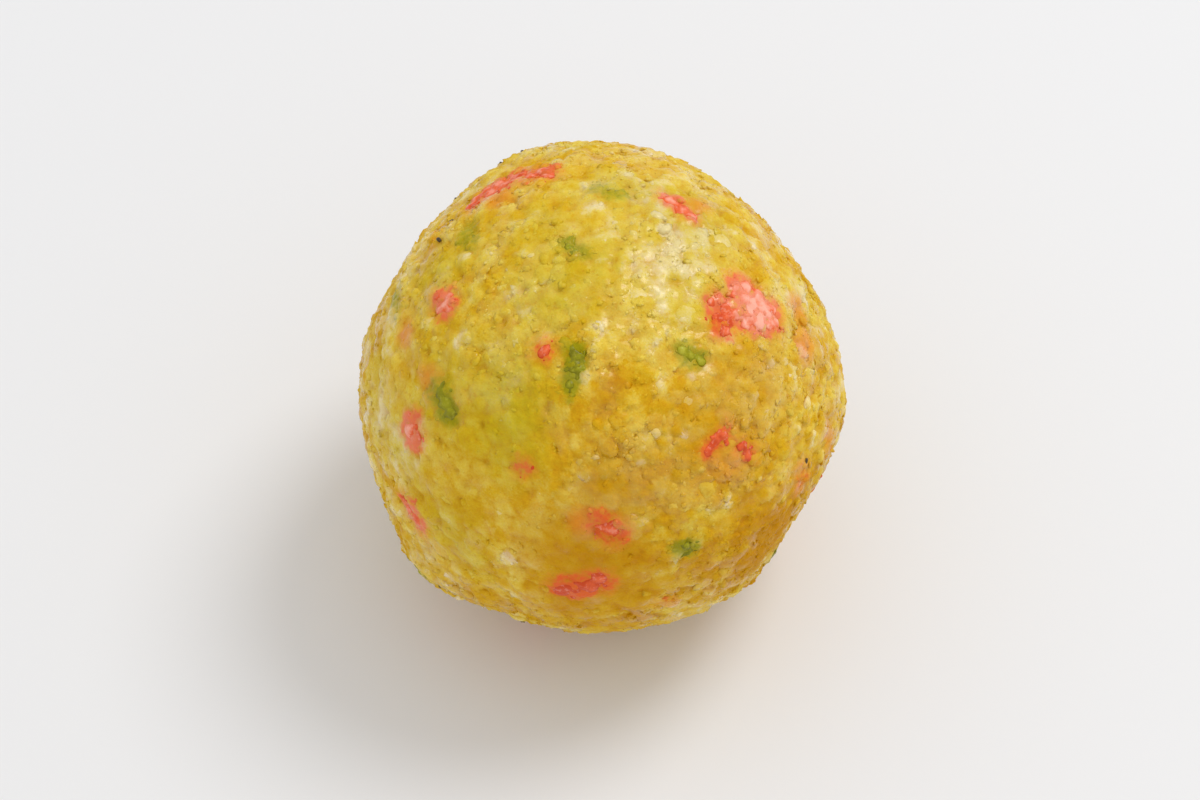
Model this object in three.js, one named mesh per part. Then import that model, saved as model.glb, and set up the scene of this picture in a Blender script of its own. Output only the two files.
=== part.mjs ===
// A boondi ladoo: a ball of small fried gram-flour drops (boondi) that was pressed by hand while the
// sugar syrup on them was warm. Most drops are yellow, some are red or green, and the palms have
// squeezed them together, so each one is a low dome with a crease of syrup round it.
// Units are millimetres and +Z is up. The origin is on the flat spot that it stands on, under the
// middle of the ball.

import * as THREE from "three";
import { ConvexHull } from "three/addons/math/ConvexHull.js";

// The ball, over its creases
const WIDTH = 48.6; // X
const DEPTH = 48.9; // Y
const HEIGHT = 47.9; // Z, from the flat spot to the top
const FLAT_SPOT = 10; // across the flat under the ball, where only creases would touch it

// The drops that show
const DROPS = 655;
const LARGEST_DROP = 5.0; // across
const SMALLEST_DROP = 2.5;
const DOME = 0.12; // how far a drop's middle stands above its creases, as a share of its size
const SHOULDER = 0.62; // where the dome turns down, from the middle (0) to the crease (1)
const SHOULDER_HEIGHT = 0.72; // of the dome's height
const UNEVEN = 0.07; // how much further a drop may stand out, as a share of its size
const CREASE_DEPTH = 0.3; // how far a corner between drops may sink into the ball
const RED_SHARE = 0.045; // of the drops on the far side
const GREEN_SHARE = 0.03;

const SEED = 1947;
const TRIES = 24; // places tried for each drop, of which the clearest is taken
const EVENING_ROUNDS = 4; // times that the drops then move towards the middles of their cells
const EVENING_STEP = 0.8; // the share of that way that they move

const YELLOW = new THREE.Color(0xdcae3a);
const RED = new THREE.Color(0xe4533f);
const GREEN = new THREE.Color(0x6f8a2f);
const SYRUP = new THREE.Color(0xb87d1e);

// Places on the ball's best side are given as it is seen from the front and 54 degrees above:
// millimetres across to the right, and up, from the middle of the ball.
const SIDE_TILT = THREE.MathUtils.degToRad(54);
const TOWARDS = new THREE.Vector3(0, -Math.cos(SIDE_TILT), Math.sin(SIDE_TILT));
const ACROSS = new THREE.Vector3(1, 0, 0);
const UP = new THREE.Vector3(0, Math.sin(SIDE_TILT), Math.cos(SIDE_TILT));
const SIDE_RADIUS = 25;

// What the palms left: wide bulges and dents, with height in millimetres and spread in degrees
const PALM_MARKS = [
  { across: 24.9, up: -0.5, height: 0.5, spread: 15 },
  { across: 19.7, up: 15.4, height: -0.7, spread: 26 },
  { across: 6.5, up: 24.0, height: 0.45, spread: 12 },
  { across: -5.6, up: 24.3, height: 1.0, spread: 18 },
  { across: -18.3, up: 17.0, height: -0.5, spread: 18 },
  { across: -22.0, up: 12.0, height: -0.7, spread: 11 },
  { across: -16.9, up: -18.4, height: 1.6, spread: 13 },
  { across: 14.3, up: -20.5, height: 0.4, spread: 12 },
  { across: 20.9, up: -13.6, height: -0.8, spread: 15 },
  { across: 4.0, up: 2.0, height: 0.3, spread: 30 },
];

// Coloured drops of the best side. A smear or a cluster is several drops.
const RED_DROPS = [
  { across: -12.3, up: 20.3, size: 3.2 }, // a crushed strip near the top
  { across: -9.6, up: 21.7, size: 3.4 },
  { across: -6.6, up: 22.5, size: 3.2 },
  { across: 7.4, up: 18.4, size: 2.6 },
  { across: 11.4, up: 8.0, size: 3.0 }, // a cluster on the right
  { across: 13.8, up: 10.4, size: 3.4 },
  { across: 14.4, up: 7.2, size: 3.2 },
  { across: 16.9, up: 8.6, size: 3.6 },
  { across: 11.9, up: 5.4, size: 2.4 },
  { across: -15.9, up: 8.8, size: 3.3 },
  { across: -5.8, up: 3.9, size: 2.2 },
  { across: -18.8, up: -4.3, size: 3.6 },
  { across: -19.3, up: -12.7, size: 3.3 },
  { across: -7.9, up: -7.4, size: 2.3 },
  { across: 0.5, up: -14.0, size: 4.3 },
  { across: -3.2, up: -19.9, size: 3.4 },
  { across: -0.6, up: -19.7, size: 3.2 },
  { across: 11.2, up: -5.8, size: 2.2 }, // a small arch
  { across: 12.8, up: -4.6, size: 2.2 },
  { across: 14.7, up: -6.5, size: 2.3 },
  { across: 20.2, up: -8.6, size: 2.5 },
];
const GREEN_DROPS = [
  { across: -0.3, up: 20.0, size: 2.6 },
  { across: -1.9, up: 14.2, size: 2.6 },
  { across: -2.7, up: 3.8, size: 2.3 },
  { across: -2.9, up: 1.2, size: 2.5 },
  { across: -15.9, up: -0.6, size: 2.9 },
  { across: -15.2, up: -3.0, size: 2.5 },
  { across: 8.1, up: 3.9, size: 2.2 },
  { across: 9.6, up: 3.1, size: 2.2 },
  { across: 8.2, up: -15.6, size: 3.0 },
  { across: -20.1, up: 9.5, size: 2.6 },
];

// Worked out from the sizes: the pressed ball is an ellipsoid, cut off level by the flat spot
const HALF_WIDTH = WIDTH / 2;
const HALF_DEPTH = DEPTH / 2;
const FLAT_DEPTH = Math.sqrt(1 - (FLAT_SPOT / WIDTH) ** 2); // of the flat below the middle, by half height
const HALF_HEIGHT = HEIGHT / (1 + FLAT_DEPTH);
const MIDDLE = HALF_HEIGHT * FLAT_DEPTH; // the ball's middle above the flat spot

function seededRandom(seed) {
  let state = seed;
  return () => {
    state = (state + 0x6d2b79f5) | 0;
    let mixed = Math.imul(state ^ (state >>> 15), 1 | state);
    mixed = (mixed + Math.imul(mixed ^ (mixed >>> 7), 61 | mixed)) ^ mixed;
    return ((mixed ^ (mixed >>> 14)) >>> 0) / 4294967296;
  };
}

const random = seededRandom(SEED);

function placeOnSide({ across, up }) {
  const aside = Math.hypot(across, up);
  const near = Math.sqrt(Math.max(0, SIDE_RADIUS ** 2 - aside ** 2));
  return new THREE.Vector3()
    .addScaledVector(ACROSS, across)
    .addScaledVector(UP, up)
    .addScaledVector(TOWARDS, near)
    .normalize();
}

function randomDirection() {
  const height = 2 * random() - 1;
  const turn = 2 * Math.PI * random();
  const level = Math.sqrt(1 - height * height);
  return new THREE.Vector3(level * Math.cos(turn), level * Math.sin(turn), height);
}

// How far the pressed surface is from the ball's middle, in a direction
const palmMarks = PALM_MARKS.map((mark) => ({
  direction: placeOnSide(mark),
  height: mark.height,
  spread: THREE.MathUtils.degToRad(mark.spread),
}));

function pressedRadius(direction) {
  const ball = 1 / Math.hypot(
    direction.x / HALF_WIDTH,
    direction.y / HALF_DEPTH,
    direction.z / HALF_HEIGHT,
  );
  const marks = palmMarks.map(
    ({ direction: at, height, spread }) => height * Math.exp(-((direction.angleTo(at) / spread) ** 2)),
  );
  return marks.reduce((sum, mark) => sum + mark, ball);
}

// The drops, the coloured ones of the best side first, and then the largest before the smallest
const angularRadius = (size) => size / 2 / SIDE_RADIUS;

function clearance(direction, size, drops) {
  const gaps = drops.map(
    (other) => direction.angleTo(other.direction) - angularRadius(size) - angularRadius(other.size),
  );
  return Math.min(...gaps);
}

function makeDrops() {
  const drops = [];
  const addColoured = (list, colour) =>
    list.forEach(({ across, up, size }) =>
      drops.push({ direction: placeOnSide({ across, up }), size, colour, fixed: true }),
    );
  addColoured(RED_DROPS, RED);
  addColoured(GREEN_DROPS, GREEN);
  const coloured = drops.length;
  for (let i = coloured; i < DROPS; i++) {
    const share = (i - coloured) / (DROPS - 1 - coloured);
    const size = THREE.MathUtils.lerp(LARGEST_DROP, SMALLEST_DROP, share);
    const places = Array.from({ length: TRIES }, randomDirection);
    const gaps = places.map((place) => clearance(place, size, drops));
    const best = places[gaps.indexOf(Math.max(...gaps))];
    drops.push({ direction: best, size, colour: YELLOW, fixed: false });
  }
  return drops;
}

// Splits the sphere into one cell for each drop. Pushing each drop's point out a little with its size
// makes a convex hull whose faces stand over the corners where three cells meet, and larger drops get
// larger cells.
function cellCorners(drops) {
  const points = drops.map(({ direction, size }) =>
    direction.clone().divideScalar(Math.cos(angularRadius(size))),
  );
  const dropOf = new Map(points.map((point, i) => [point, i]));
  const cells = drops.map(() => []);
  const { faces } = new ConvexHull().setFromPoints(points);
  faces.forEach((face, corner) => {
    let edge = face.edge;
    do {
      cells[dropOf.get(edge.head().point)].push(corner);
      edge = edge.next;
    } while (edge !== face.edge);
  });
  const corners = faces.map((face) => face.normal);
  drops.forEach(({ direction }, i) => sortAround(direction, cells[i], corners));
  return { cells, corners };
}

function sortAround(direction, cell, corners) {
  const side = new THREE.Vector3(0, 0, 1).cross(direction).normalize();
  const along = direction.clone().cross(side);
  const angle = (corner) => Math.atan2(corners[corner].dot(along), corners[corner].dot(side));
  cell.sort((a, b) => angle(a) - angle(b));
}

function evenOut(drops) {
  const { cells, corners } = cellCorners(drops);
  drops.forEach((drop, i) => {
    if (drop.fixed) return;
    const middle = new THREE.Vector3();
    cells[i].forEach((corner) => middle.add(corners[corner]));
    drop.direction.lerp(middle.normalize(), EVENING_STEP).normalize();
  });
}

function colourFarSide(drops) {
  drops.forEach((drop) => {
    const draw = random();
    if (drop.fixed || drop.direction.dot(TOWARDS) > 0) return;
    if (draw < RED_SHARE) drop.colour = RED;
    else if (draw < RED_SHARE + GREEN_SHARE) drop.colour = GREEN;
  });
}

// One closed skin: each drop is a fan round its middle and a band from its shoulder down to its creases
function makeSkin(drops) {
  const { cells, corners } = cellCorners(drops);
  const positions = [];
  const colours = [];
  const faces = [];

  function addPoint(direction, lift, colour) {
    const level = direction.z < 0 ? MIDDLE / -direction.z : Infinity;
    const radius = Math.min(pressedRadius(direction) + lift, level);
    const z = radius === level ? 0 : MIDDLE + radius * direction.z;
    positions.push(radius * direction.x, radius * direction.y, z);
    colours.push(...colour.toArray());
    return positions.length / 3 - 1;
  }

  const creases = corners.map((corner) => addPoint(corner, -CREASE_DEPTH * random(), SYRUP));
  drops.forEach((drop, i) => {
    const dome = (DOME + UNEVEN * random()) * drop.size;
    const middle = addPoint(drop.direction, dome, drop.colour);
    const shoulders = cells[i].map((corner) => {
      const place = drop.direction.clone().lerp(corners[corner], SHOULDER).normalize();
      return addPoint(place, dome * SHOULDER_HEIGHT, drop.colour);
    });
    cells[i].forEach((corner, k) => {
      const next = (k + 1) % cells[i].length;
      const [near, far] = [shoulders[k], shoulders[next]];
      const [low, lowNext] = [creases[corner], creases[cells[i][next]]];
      faces.push(middle, near, far, near, low, lowNext, near, lowNext, far);
    });
  });

  const skin = new THREE.BufferGeometry();
  skin.setAttribute("position", new THREE.Float32BufferAttribute(positions, 3));
  skin.setAttribute("color", new THREE.Float32BufferAttribute(colours, 3));
  skin.setIndex(faces);
  centreOverOrigin(skin);
  skin.computeVertexNormals();
  return skin;
}

// The marks of the palms widen one side more than the other, so the skin's box is brought over the origin
function centreOverOrigin(skin) {
  skin.computeBoundingBox();
  const middle = skin.boundingBox.getCenter(new THREE.Vector3());
  skin.translate(-middle.x, -middle.y, 0);
}

const drops = makeDrops();
for (let round = 0; round < EVENING_ROUNDS; round++) evenOut(drops);
colourFarSide(drops);

const syrupyCrust = new THREE.MeshStandardMaterial({
  color: 0xffffff, // the drops' own colours are in the vertices
  vertexColors: true,
  roughness: 0.42,
  metalness: 0,
});

const ball = new THREE.Mesh(makeSkin(drops), syrupyCrust);
ball.name = "ladoo";

const ladoo = new THREE.Group();
ladoo.add(ball);

export default ladoo;
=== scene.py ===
# A boondi ladoo, a ball of fried gram-flour drops pressed in the palms, on a plain pale floor.
# Sizes in the dictionaries are millimetres; meshes are in metres, in the frame's own axes.

import math

import bmesh
import bpy
import numpy as np
from mathutils import Matrix, Vector, kdtree, noise


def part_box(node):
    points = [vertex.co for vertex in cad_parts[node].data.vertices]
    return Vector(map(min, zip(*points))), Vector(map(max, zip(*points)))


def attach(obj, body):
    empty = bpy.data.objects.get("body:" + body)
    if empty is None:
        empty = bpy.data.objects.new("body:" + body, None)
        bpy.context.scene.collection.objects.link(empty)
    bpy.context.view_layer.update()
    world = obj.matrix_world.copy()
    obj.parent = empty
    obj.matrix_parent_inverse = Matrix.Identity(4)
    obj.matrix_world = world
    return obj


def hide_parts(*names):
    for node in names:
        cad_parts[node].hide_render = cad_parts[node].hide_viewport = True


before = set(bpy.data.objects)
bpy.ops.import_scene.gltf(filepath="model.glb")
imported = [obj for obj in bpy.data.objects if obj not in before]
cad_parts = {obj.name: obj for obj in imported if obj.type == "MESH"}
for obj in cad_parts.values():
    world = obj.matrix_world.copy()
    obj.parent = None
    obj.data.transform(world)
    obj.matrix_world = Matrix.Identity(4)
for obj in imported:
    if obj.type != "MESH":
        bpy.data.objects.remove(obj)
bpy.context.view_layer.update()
mm = 0.001


# Places on the best side are given as seen from the front and above: across to the right, and up, from the
# middle of the ball.
bestSide = {"elevation": 54.0, "radius": 25.0}

tilt = math.radians(bestSide["elevation"])
towardsViewer = np.array([0.0, -math.cos(tilt), math.sin(tilt)])
upOnSide = np.array([0.0, math.sin(tilt), math.cos(tilt)])


def unit(vectors):
    return vectors / np.linalg.norm(vectors, axis=-1, keepdims=True)


def placeOnSide(across, up):
    near = math.sqrt(max(0.0, bestSide["radius"] ** 2 - across**2 - up**2))
    return unit(np.array([across, 0.0, 0.0]) + up * upOnSide + near * towardsViewer)


def noiseAt(points, size, shift):
    # smooth noise from about -1 to 1, with lumps of that size
    return np.array([noise.noise(Vector(p) / size + Vector((shift, -shift, shift / 2))) for p in points])


ball = {
    # the ball as the palms left it, without its crumb
    "inset": (0.75, 0.45, 0.3),  # of the mean surface inside the frame's box, in X, Y and Z
    "flatSpot": 10.0,  # across
    # wide bulges and dents that the palms left: across, up, height, spread in degrees
    "palmMarks": [
        (24.9, -0.5, 0.5, 15),
        (19.7, 15.4, -0.7, 26),
        (6.5, 24.0, 0.45, 12),
        (-5.6, 24.3, 1.0, 18),
        (-18.3, 17.0, -0.5, 18),
        (-22.0, 12.0, -0.7, 11),
        (-16.9, -18.4, 1.6, 13),
        (14.3, -20.5, 0.4, 12),
        (20.9, -13.6, -0.8, 15),
        (4.0, 2.0, 0.3, 30),
    ],
}

low, high = [np.array(corner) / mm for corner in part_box("ladoo")]
halfSizes = (high - low) / 2 - ball["inset"]
flatShare = math.sqrt(1 - (ball["flatSpot"] / 2 / halfSizes[0]) ** 2)
halfSizes[2] = (high[2] - low[2] - ball["inset"][2]) / (1 + flatShare)
middleHeight = halfSizes[2] * flatShare


def pressedRadius(directions):
    radius = 1 / np.linalg.norm(directions / halfSizes, axis=1)
    for across, up, height, spread in ball["palmMarks"]:
        angle = np.arccos(np.clip(directions @ placeOnSide(across, up), -1, 1))
        radius += height * np.exp(-((angle / math.radians(spread)) ** 2))
    return radius


drops = {
    # the drops pressed in its surface
    "count": 900,
    "size": (2.0, 4.6),
    "tries": 16,
    "rise": (0.03, 0.2),  # of a drop's middle over its edge
    "offset": 0.07,  # how far a drop stands out or in
    "lean": 0.05,  # slope of its pressed top
    "softness": 0.5,  # width over which neighbours run together
    "warp": 0.9,  # how far their outlines wander
    "overlap": 0.4,  # how far a drop's dome runs past its edge
    "rim": 1.3,  # where the dome stops falling, to half its width
    "roundness": 2.4,
    "mashedRise": 0.6,  # how much of the dome and of the crease is lost where drops are crushed
    "mashedCrease": 0.8,
    "creaseWidth": 0.8,
    "creaseSink": 0.1,
    "seed": 1947,
}

grains = {
    # the wet crumb that the drops are crushed to, which covers the whole ball
    "count": 6000,
    "size": (0.75, 2.1),
    "tries": 6,
    "rise": (0.18, 0.42),
    "lean": 0.12,
    "softness": 0.05,
    "bleed": 0.5,  # how sharply colour stops at a grain's edge, 1 as sharply as its shape
    "warp": 0.34,
    "reach": 0.58,  # of a dome, to the grain's width
    "lowest": -0.5,  # of a dome, to its rise
    "tones": (2.0, 2.6),  # of the beta draw that tones come from
    "palest": 0.14,  # share of grains that stayed pale
    "paler": 0.6,
    "dryness": 1.5,
    "seed": 1948,
}

pits = {"count": 300, "width": (0.3, 0.7), "depth": 0.35, "seed": 1949}

neighbours = 6  # how many drops or grains may shape one point

unevenness = {
    # noises over the whole ball: size of their lumps, shift, how much they do
    "mash": (7.0, 31.0, 0.9),  # how crushed the drops are
    "rough": (5.0, 41.0, 0.5),  # how far the crumb stands out
    "knead": (1.7, 53.0, 0.1),  # of the height
    "grit": (0.7, 61.0, 0.05),
    "damp": (3.0, 13.0, 0.3),
    "warm": (7.0, 83.0, 0.4),
    "pale": (5.0, 97.0, 0.25),
    "blotch": (2.4, 103.0, 0.1),  # of the paleness
}

crust = {
    "dropWander": (2.2, (3.0, 9.0, 17.0)),  # size and shifts of the noise that bends the drops' outlines
    "grainWander": (0.9, (5.0, 11.0, 23.0)),  # and the grains'
    "mash": 0.45,
    "rough": 0.85,
    "roughRange": (0.4, 1.1),
    "grainLevel": 0.12,  # height of a grain that counts as level
    "tone": 0.4,
    "grainTone": 0.8,  # share of the tone that comes from the grain, the rest being its drop's
    "smearedTone": 0.3,  # share of the tone's differences that a smeared place keeps
    "creaseShadeDepth": (0.08, 0.2),  # of a grain below level, and the height over which a crease ends, for the painted crease shade
    "dropCreaseShade": 0.4,  # how much the creases between drops add to the painted crease shade
    "paleWet": 0.5,
    "dryWet": 0.25,
    "grainStain": 0.55,  # share of a stain that keeps to whole grains
    "grainStainRange": (0.75, 1.2),
    "stainSpread": {"redStain": 1.4, "greenStain": 1.2, "orangeStain": 1.6},
    "grainStainSharpness": 0.8,
}

# where the palms smeared the crumb smooth: across, up, spread, how much
smearedPlaces = [
    (-11.0, -9.0, 9.0, 0.6),
    (-18.0, -11.0, 6.0, 0.5),
    (-3.0, -18.0, 6.0, 0.45),
    (15.0, 13.0, 5.0, 0.3),
    (-18.0, 4.0, 6.0, 0.4),
]

# broad patches of the crust's colour, partly painted light: the paler ones at the upper right, on the left
# edge and on red drops are painted highlights and reflections, and more amber, less pale towards the bottom
# and lower right is partly painted shade; across, up, spread, how much more amber (or less), how much paler
patches = [
    (13.0, -8.0, 8.0, 0.48, -0.05),
    (0.0, -16.5, 7.5, 0.85, -0.15),
    (8.5, -1.0, 5.0, 0.3, 0.0),
    (17.0, 0.5, 5.0, 0.55, 0.05),
    (-9.0, 9.5, 4.5, -0.5, 0.1),
    (-9.0, -2.0, 6.5, -0.75, 0.0),
    (-14.0, -14.0, 6.0, -0.5, 0.05),
    (-17.0, 12.0, 5.0, -0.5, -0.1),
    (-18.0, 0.0, 6.0, -0.4, 0.0),
    # a painted reflection on the left edge
    (-21.5, -2.0, 4.5, 0.0, 0.55),
    (8.0, 11.0, 6.0, -0.3, 0.36),
    (4.5, 6.0, 4.0, 0.0, 0.2),
    (5.0, 19.5, 5.5, -0.4, 0.3),
    (20.0, 9.0, 4.5, -0.1, 0.3),
    (14.0, 13.0, 4.5, -0.1, 0.1),
    # pale on the red cluster: painted highlight
    (15.6, 8.0, 2.8, 0.0, 0.7),
    (12.0, 7.2, 1.6, 0.0, -0.45),
    # a painted highlight on a red drop
    (-15.3, 8.9, 1.2, 0.0, 0.5),
    (3.5, 10.5, 4.5, -0.1, 0.18),
    (12.5, 3.2, 3.5, 0.35, 0.0),
    (0.0, -0.5, 3.0, 0.3, -0.15),
    (-18.5, -5.0, 3.0, 0.0, 0.25),
    (-19.2, -12.5, 2.5, 0.0, 0.25),
    (-2.0, 13.0, 7.0, -0.45, 0.05),
    (9.0, -14.5, 4.5, -0.4, 0.0),
    (1.0, 21.5, 6.0, -0.2, 0.0),
    # less pale and more amber at the lower right: painted shade
    (17.5, -15.0, 7.0, 0.5, -0.8),
    (0.0, -22.0, 7.0, 0.2, -0.4),
    (1.0, -8.0, 5.5, 0.4, 0.0),
]

# coloured drops as strokes of crushed crumb: width, strength of the colour, width of the drops that are
# still whole there (0 where only a stain is left), then the places it runs through
redMarks = [
    (2.8, 1.0, 1.7, (-12.9, 19.3), (-10.8, 20.6), (-8.4, 21.5), (-5.6, 21.8)),
    (1.7, 1.0, 1.5, (6.9, 19.3), (8.1, 18.5), (9.1, 17.5)),
    (3.4, 1.0, 1.5, (11.9, 8.2), (12.2, 6.6)),  # a cluster, with the next three
    (3.8, 1.0, 1.6, (14.4, 9.8), (15.6, 8.9)),
    (2.8, 1.0, 1.4, (14.2, 7.2), (16.6, 7.0)),
    (1.6, 1.0, 1.3, (17.4, 8.2), (17.7, 6.6)),
    (2.7, 1.0, 2.6, (-15.8, 9.0), (-15.6, 8.4)),
    (1.8, 0.95, 1.5, (-5.5, 3.95)),
    (3.1, 1.0, 2.4, (-18.9, -3.8), (-18.8, -4.6)),
    (1.9, 0.9, 0.0, (-7.6, -7.6)),
    (2.5, 1.0, 2.0, (-19.6, -11.5), (-18.7, -13.2)),
    (3.0, 1.0, 2.4, (0.3, -13.3), (1.4, -14.3)),
    (3.5, 1.0, 2.7, (-3.4, -19.9), (-0.2, -19.3)),
    (1.2, 0.95, 1.1, (10.6, -6.2), (11.7, -4.9), (12.7, -4.3)),  # a small arch, with the next one
    (1.3, 0.95, 1.1, (14.0, -5.5), (14.8, -6.5)),
    (1.8, 0.75, 0.0, (20.5, -8.2), (20.6, -9.4)),
    (1.2, 0.6, 0.0, (5.9, -21.6), (7.6, -21.4)),
    (0.9, 0.7, 0.0, (23.2, -4.2), (23.6, -6.4)),
    (1.6, 0.4, 0.0, (20.7, 7.0), (20.9, 3.5)),
    (1.4, 0.5, 0.0, (-17.1, 15.9), (-17.1, 14.8)),
]
greenMarks = [
    (1.2, 1.0, 1.1, (-2.5, 3.8), (-2.5, 2.0), (-3.0, 0.4)),
    (2.0, 0.95, 1.5, (-16.0, 0.1), (-15.6, -1.1), (-15.2, -2.4)),
    (1.0, 1.0, 1.0, (8.0, 3.9), (8.8, 3.5), (9.9, 2.8)),
    (1.4, 1.0, 1.2, (8.0, -15.8), (9.0, -15.9)),
    (1.3, 0.7, 0.0, (0.0, 20.1), (1.7, 19.8)),
    (1.0, 0.85, 0.0, (-3.1, 14.5), (-1.9, 13.7)),
    (1.6, 0.7, 0.0, (-13.3, 16.6), (-13.2, 14.8)),
    (1.2, 0.75, 0.0, (-20.6, 8.2), (-20.9, 9.9)),
]
orangeMarks = [
    (1.2, 1.0, 0.0, (-19.8, 5.8)),
    (1.4, 1.0, 0.0, (-17.2, 0.9)),
    (1.4, 1.0, 0.0, (20.2, 8.5)),
    (1.6, 1.0, 0.0, (20.8, 4.5)),
    (1.0, 1.0, 0.0, (10.2, 18.6)),
    (1.2, 1.0, 0.0, (-10.2, 19.5)),
    (1.6, 0.5, 0.0, (12.6, -7.4)),
    (1.6, 1.0, 0.0, (-1.6, -13.2)),
]

farMarks = {
    "red": 26,
    "green": 15,
    "redWidth": (1.4, 3.0),
    "greenWidth": (1.0, 1.8),
    "strengths": (1.0, 1.0, 0.9, 0.6),
    "wholeFrom": 0.85,  # strength from which its drops are still whole
    "crumbledFrom": 0.82,  # and from which crumbs of its colour lie about it
    "shares": (0.5, 0.9),  # of a whole drop in the stroke's width
    "leastWhole": 1.1,
    "longest": 4.5,
    "bend": 0.5,
    "steps": 8,
    "apart": 4.5,  # least distance from any other mark
    "facing": -0.05,
    "lowest": -0.93,
    "seed": 77,
}


def strokePoints(places, step=0.5):
    # directions along a stroke, close enough together to stand for its line
    ends = [placeOnSide(*place) for place in places]
    if len(ends) == 1:
        return np.array(ends)
    points = []
    for start, end in zip(ends, ends[1:]):
        count = max(2, round(np.linalg.norm(end - start) * bestSide["radius"] / step))
        points += [unit(start + (end - start) * k / count) for k in range(count + 1)]
    return np.array(points)


def farStrokes(random, count, widths, others):
    # strokes on the side that looks away from the viewer, bent at random and kept apart from all others
    strokes = []
    nearest = math.cos(farMarks["apart"] / bestSide["radius"])
    while len(strokes) < count:
        start = unit(random.normal(size=3))
        if start @ towardsViewer > farMarks["facing"] or start[2] < farMarks["lowest"]:
            continue
        run = unit(np.cross(start, random.normal(size=3)))
        length = random.uniform(0, farMarks["longest"]) / bestSide["radius"]
        bend = random.uniform(-farMarks["bend"], farMarks["bend"])
        along = np.linspace(0, length, farMarks["steps"])
        side = np.cross(start, run)
        points = unit(start + np.outer(along, run) + np.outer(bend * along**2 / max(length, 0.01), side))
        if any((points @ other[3].T).max() > nearest for other in others + strokes):
            continue
        width = random.uniform(*widths)
        strength = random.choice(farMarks["strengths"])
        whole = max(farMarks["leastWhole"], width * random.uniform(*farMarks["shares"]))
        strokes.append((width, strength, whole * (strength >= farMarks["wholeFrom"]), points))
    return strokes


random = np.random.default_rng(farMarks["seed"])
redStrokes, greenStrokes, orangeStrokes = [
    [(width, strength, whole, strokePoints(places)) for width, strength, whole, *places in marks]
    for marks in (redMarks, greenMarks, orangeMarks)
]
redStrokes += farStrokes(random, farMarks["red"], farMarks["redWidth"], redStrokes + greenStrokes)
greenStrokes += farStrokes(random, farMarks["green"], farMarks["greenWidth"], redStrokes + greenStrokes)


def layRound(random, look):
    # the largest first, each in the clearest of a few places
    smallest, largest = look["size"]
    sizes = np.linspace(largest, smallest, look["count"])
    places = np.zeros((look["count"], 3))
    places[0] = unit(random.normal(size=3))
    for i in range(1, look["count"]):
        offered = unit(random.normal(size=(look["tries"], 3)))
        apart = np.sqrt(np.maximum(2 - 2 * offered @ places[:i].T, 0)) * bestSide["radius"]
        gaps = (apart - (sizes[:i] + sizes[i]) / 2).min(axis=1)
        places[i] = offered[gaps.argmax()]
    rise = random.uniform(*look["rise"], look["count"])
    lean = random.normal(0, look["lean"], (look["count"], 3))
    return {"place": places, "size": sizes, "rise": rise, "lean": lean}


def treeOf(places):
    tree = kdtree.KDTree(len(places))
    for i, place in enumerate(places):
        tree.insert(place, i)
    tree.balance()
    return tree


def nearestOf(tree, directions, count):
    # indices of the nearest few, and how far away they are
    found = [tree.find_n(direction, count) for direction in directions]
    near = np.array([[item[1] for item in row] for row in found])
    apart = np.array([[item[2] for item in row] for row in found]) * bestSide["radius"]
    return near, apart


def leanOf(laid, near, directions):
    offset = directions[:, None, :] - laid["place"][near]
    return (laid["lean"][near] * offset).sum(axis=2) * bestSide["radius"]


random = np.random.default_rng(drops["seed"])
laidDrops = layRound(random, drops)
laidDrops["offset"] = random.normal(0, drops["offset"], drops["count"])
laidDrops["tone"] = random.uniform(0, 1, drops["count"])
dropsTree = treeOf(laidDrops["place"])

random = np.random.default_rng(grains["seed"])
laidGrains = layRound(random, grains)
laidGrains["tone"] = random.beta(*grains["tones"], grains["count"])
laidGrains["tone"] += (random.uniform(size=grains["count"]) < grains["palest"]) * grains["paler"]
laidGrains["wet"] = random.uniform(0, 1, grains["count"]) ** grains["dryness"]
grainsTree = treeOf(laidGrains["place"])

random = np.random.default_rng(pits["seed"])
pitsTree = treeOf(unit(random.normal(size=(pits["count"], 3))))
pitWidths = random.uniform(*pits["width"], pits["count"])


def dropsAt(directions, mash):
    # height, tone and crease (0 in a crease, 1 well inside a drop) of the pressed drops
    near, apart = nearestOf(dropsTree, directions, neighbours)
    edges = apart - laidDrops["size"][near] / 2
    order = edges.argsort(axis=1)
    near, apart, edges = [np.take_along_axis(values, order, axis=1) for values in (near, apart, edges)]
    weight = np.exp(-(edges - edges[:, :1]) / drops["softness"])
    weight /= weight.sum(axis=1, keepdims=True)
    inside = apart / (laidDrops["size"][near] / 2 + drops["overlap"])
    dome = laidDrops["rise"][near] * (1 - np.minimum(inside, drops["rim"]) ** drops["roundness"])
    dome *= 1 - drops["mashedRise"] * mash[:, None]
    pads = dome + laidDrops["offset"][near] + leanOf(laidDrops, near, directions)
    crease = 1 - np.exp(-(((edges[:, 1] - edges[:, 0]) / drops["creaseWidth"]) ** 2))
    height = (weight * pads).sum(axis=1)
    height -= drops["creaseSink"] * (1 - crease) * (1 - drops["mashedCrease"] * mash)
    return height, (weight * laidDrops["tone"][near]).sum(axis=1), crease


def grainsAt(directions):
    # the crumb as low domes run together: their height, and a function that spreads a grain's value over it
    near, apart = nearestOf(grainsTree, directions, neighbours)
    inside = apart / (laidGrains["size"][near] * grains["reach"])
    dome = laidGrains["rise"][near] * np.maximum(1 - inside**2, grains["lowest"])
    dome += leanOf(laidGrains, near, directions)
    weight = np.exp((dome - dome.max(axis=1, keepdims=True)) / grains["softness"])
    weight /= weight.sum(axis=1, keepdims=True)
    share = weight ** grains["bleed"]
    share /= share.sum(axis=1, keepdims=True)
    return (weight * dome).sum(axis=1), lambda values: (share * values[near]).sum(axis=1)


def pitsAt(directions):
    # small open gaps between crumbs, 1 at the bottom
    near, apart = nearestOf(pitsTree, directions, 1)
    return np.exp(-((apart / pitWidths[near]) ** 2))[:, 0]


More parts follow.
